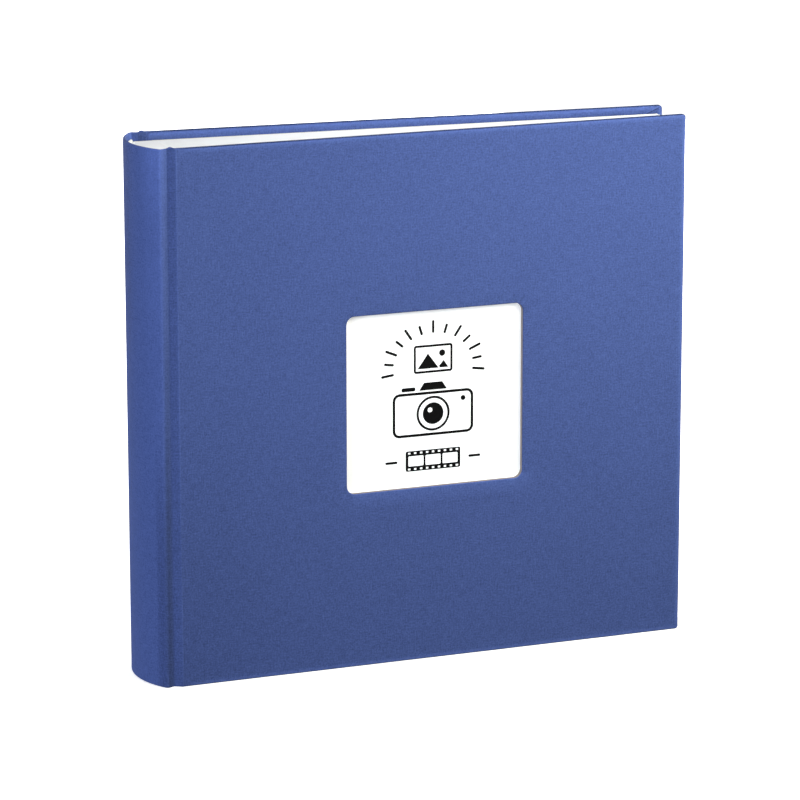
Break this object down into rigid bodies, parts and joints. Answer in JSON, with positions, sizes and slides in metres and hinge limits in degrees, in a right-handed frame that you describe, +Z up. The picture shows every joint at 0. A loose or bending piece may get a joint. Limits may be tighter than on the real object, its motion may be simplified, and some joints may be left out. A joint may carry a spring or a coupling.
{
  "type": "scrapbook album",
  "caption": "Book-bound scrapbook album with hard cloth-covered boards, a square picture window in the front cover, and turning card leaves with glassine interleaves.",
  "frame": {"origin": "middle of the footprint, at the tail edges that the album stands on", "axes": "+Z up from tail to head, front cover faces -Y, spine at -X, fore-edges at +X"},
  "size_m": [0.3304, 0.0626, 0.31],
  "materials": {
    "cover_cloth": "matt, fine linen weave",
    "grey_board": "matt, cut edge",
    "spine_board": "matt",
    "leaf_paper": "matt, light tooth",
    "guard_paper": "matt",
    "endpaper": "matt",
    "glassine": "smooth, translucent",
    "picture_paper": "smooth, matt",
    "pocket_card": "matt",
    "gauze": "open weave",
    "band": "woven, slight sheen",
    "lining_paper": "matt, kraft"
  },
  "bodies": {
    "binding": {"spine_cloth": "cover_cloth", "spine_card": "spine_board", "spine_gauze": "gauze", "spine_lining": "lining_paper", "head_band": "band", "tail_band": "band", "leaf_stubs": "leaf_paper", "guard_strips": "guard_paper", "centre_leaves": "leaf_paper", "centre_interleaves": "glassine"},
    "front_joint": {"front_joint_cloth": "cover_cloth", "front_joint_paper": "endpaper"},
    "front_cover": {"front_board": "grey_board", "front_cover_cloth": "cover_cloth", "front_infill": "pocket_card", "front_pastedown": "endpaper", "pocket_spacer": "pocket_card", "pocket_panel": "pocket_card"},
    "picture": {"picture_card": "picture_paper"},
    "rear_joint": {"rear_joint_cloth": "cover_cloth", "rear_joint_paper": "endpaper"},
    "rear_cover": {"rear_board": "grey_board", "rear_cover_cloth": "cover_cloth", "rear_infill": "pocket_card", "rear_pastedown": "endpaper"},
    "front_flyleaf": {"front_flyleaf": "endpaper"},
    "rear_flyleaf": {"rear_flyleaf": "endpaper"},
    "leaf_01": {"leaf_01": "leaf_paper", "interleaf_01": "glassine"},
    "rear_leaf_01": {"rear_leaf_01": "leaf_paper", "rear_interleaf_01": "glassine"},
    "leaf_02": {"leaf_02": "leaf_paper", "interleaf_02": "glassine"},
    "rear_leaf_02": {"rear_leaf_02": "leaf_paper", "rear_interleaf_02": "glassine"},
    "leaf_03": {"leaf_03": "leaf_paper", "interleaf_03": "glassine"},
    "rear_leaf_03": {"rear_leaf_03": "leaf_paper", "rear_interleaf_03": "glassine"},
    "leaf_04": {"leaf_04": "leaf_paper", "interleaf_04": "glassine"},
    "rear_leaf_04": {"rear_leaf_04": "leaf_paper", "rear_interleaf_04": "glassine"},
    "leaf_05": {"leaf_05": "leaf_paper", "interleaf_05": "glassine"},
    "rear_leaf_05": {"rear_leaf_05": "leaf_paper", "rear_interleaf_05": "glassine"},
    "leaf_06": {"leaf_06": "leaf_paper", "interleaf_06": "glassine"},
    "rear_leaf_06": {"rear_leaf_06": "leaf_paper", "rear_interleaf_06": "glassine"},
    "leaf_07": {"leaf_07": "leaf_paper", "interleaf_07": "glassine"},
    "rear_leaf_07": {"rear_leaf_07": "leaf_paper", "rear_interleaf_07": "glassine"},
    "leaf_08": {"leaf_08": "leaf_paper", "interleaf_08": "glassine"},
    "rear_leaf_08": {"rear_leaf_08": "leaf_paper", "rear_interleaf_08": "glassine"}
  },
  "joints": [
    {"name": "front_joint_bend", "type": "hinge", "parent": "binding", "child": "front_joint", "pos_m": [-0.15305, -0.0288, 0], "axis": [0, 0, -1], "range_deg": [0, 90]},
    {"name": "front_cover_open", "type": "hinge", "parent": "front_joint", "child": "front_cover", "pos_m": [-0.14705, -0.0288, 0], "axis": [0, 0, -1], "range_deg": [0, 90]},
    {"name": "front_flyleaf_turn", "type": "hinge", "parent": "binding", "child": "front_flyleaf", "pos_m": [-0.14355, -0.0326, 0], "axis": [0, 0, -1], "range_deg": [0, 171]},
    {"name": "leaf_01_turn", "type": "hinge", "parent": "binding", "child": "leaf_01", "pos_m": [-0.14355, -0.0326, 0], "axis": [0, 0, -1], "range_deg": [0, 152]},
    {"name": "leaf_02_turn", "type": "hinge", "parent": "binding", "child": "leaf_02", "pos_m": [-0.14355, -0.0326, 0], "axis": [0, 0, -1], "range_deg": [0, 133]},
    {"name": "leaf_03_turn", "type": "hinge", "parent": "binding", "child": "leaf_03", "pos_m": [-0.14355, -0.0326, 0], "axis": [0, 0, -1], "range_deg": [0, 114]},
    {"name": "leaf_04_turn", "type": "hinge", "parent": "binding", "child": "leaf_04", "pos_m": [-0.14355, -0.0326, 0], "axis": [0, 0, -1], "range_deg": [0, 95]},
    {"name": "leaf_05_turn", "type": "hinge", "parent": "binding", "child": "leaf_05", "pos_m": [-0.14355, -0.0326, 0], "axis": [0, 0, -1], "range_deg": [0, 76]},
    {"name": "leaf_06_turn", "type": "hinge", "parent": "binding", "child": "leaf_06", "pos_m": [-0.14355, -0.0326, 0], "axis": [0, 0, -1], "range_deg": [0, 57]},
    {"name": "leaf_07_turn", "type": "hinge", "parent": "binding", "child": "leaf_07", "pos_m": [-0.14355, -0.0326, 0], "axis": [0, 0, -1], "range_deg": [0, 38]},
    {"name": "leaf_08_turn", "type": "hinge", "parent": "binding", "child": "leaf_08", "pos_m": [-0.14355, -0.0326, 0], "axis": [0, 0, -1], "range_deg": [0, 19]},
    {"name": "rear_joint_bend", "type": "hinge", "parent": "binding", "child": "rear_joint", "pos_m": [-0.15305, 0.0288, 0], "axis": [0, 0, 1], "range_deg": [0, 90]},
    {"name": "rear_cover_open", "type": "hinge", "parent": "rear_joint", "child": "rear_cover", "pos_m": [-0.14705, 0.0288, 0], "axis": [0, 0, 1], "range_deg": [0, 90]},
    {"name": "rear_flyleaf_turn", "type": "hinge", "parent": "binding", "child": "rear_flyleaf", "pos_m": [-0.14355, 0.0326, 0], "axis": [0, 0, 1], "range_deg": [0, 171]},
    {"name": "rear_leaf_01_turn", "type": "hinge", "parent": "binding", "child": "rear_leaf_01", "pos_m": [-0.14355, 0.0326, 0], "axis": [0, 0, 1], "range_deg": [0, 152]},
    {"name": "rear_leaf_02_turn", "type": "hinge", "parent": "binding", "child": "rear_leaf_02", "pos_m": [-0.14355, 0.0326, 0], "axis": [0, 0, 1], "range_deg": [0, 133]},
    {"name": "rear_leaf_03_turn", "type": "hinge", "parent": "binding", "child": "rear_leaf_03", "pos_m": [-0.14355, 0.0326, 0], "axis": [0, 0, 1], "range_deg": [0, 114]},
    {"name": "rear_leaf_04_turn", "type": "hinge", "parent": "binding", "child": "rear_leaf_04", "pos_m": [-0.14355, 0.0326, 0], "axis": [0, 0, 1], "range_deg": [0, 95]},
    {"name": "rear_leaf_05_turn", "type": "hinge", "parent": "binding", "child": "rear_leaf_05", "pos_m": [-0.14355, 0.0326, 0], "axis": [0, 0, 1], "range_deg": [0, 76]},
    {"name": "rear_leaf_06_turn", "type": "hinge", "parent": "binding", "child": "rear_leaf_06", "pos_m": [-0.14355, 0.0326, 0], "axis": [0, 0, 1], "range_deg": [0, 57]},
    {"name": "rear_leaf_07_turn", "type": "hinge", "parent": "binding", "child": "rear_leaf_07", "pos_m": [-0.14355, 0.0326, 0], "axis": [0, 0, 1], "range_deg": [0, 38]},
    {"name": "rear_leaf_08_turn", "type": "hinge", "parent": "binding", "child": "rear_leaf_08", "pos_m": [-0.14355, 0.0326, 0], "axis": [0, 0, 1], "range_deg": [0, 19]},
    {"name": "picture_slide", "type": "slide", "parent": "front_cover", "child": "picture", "axis": [0, 0, 1], "range_m": [0, 0.215]}
  ],
  "couplings": [
    {"joint": "front_joint_bend", "follows": "front_cover_open", "ratio": 1},
    {"joint": "front_flyleaf_turn", "follows": "front_cover_open", "ratio": 1.9},
    {"joint": "leaf_01_turn", "follows": "front_cover_open", "ratio": 1.6889},
    {"joint": "leaf_02_turn", "follows": "front_cover_open", "ratio": 1.4778},
    {"joint": "leaf_03_turn", "follows": "front_cover_open", "ratio": 1.2667},
    {"joint": "leaf_04_turn", "follows": "front_cover_open", "ratio": 1.0556},
    {"joint": "leaf_05_turn", "follows": "front_cover_open", "ratio": 0.84444},
    {"joint": "leaf_06_turn", "follows": "front_cover_open", "ratio": 0.63333},
    {"joint": "leaf_07_turn", "follows": "front_cover_open", "ratio": 0.42222},
    {"joint": "leaf_08_turn", "follows": "front_cover_open", "ratio": 0.21111},
    {"joint": "rear_joint_bend", "follows": "rear_cover_open", "ratio": 1},
    {"joint": "rear_flyleaf_turn", "follows": "rear_cover_open", "ratio": 1.9},
    {"joint": "rear_leaf_01_turn", "follows": "rear_cover_open", "ratio": 1.6889},
    {"joint": "rear_leaf_02_turn", "follows": "rear_cover_open", "ratio": 1.4778},
    {"joint": "rear_leaf_03_turn", "follows": "rear_cover_open", "ratio": 1.2667},
    {"joint": "rear_leaf_04_turn", "follows": "rear_cover_open", "ratio": 1.0556},
    {"joint": "rear_leaf_05_turn", "follows": "rear_cover_open", "ratio": 0.84444},
    {"joint": "rear_leaf_06_turn", "follows": "rear_cover_open", "ratio": 0.63333},
    {"joint": "rear_leaf_07_turn", "follows": "rear_cover_open", "ratio": 0.42222},
    {"joint": "rear_leaf_08_turn", "follows": "rear_cover_open", "ratio": 0.21111}
  ]
}
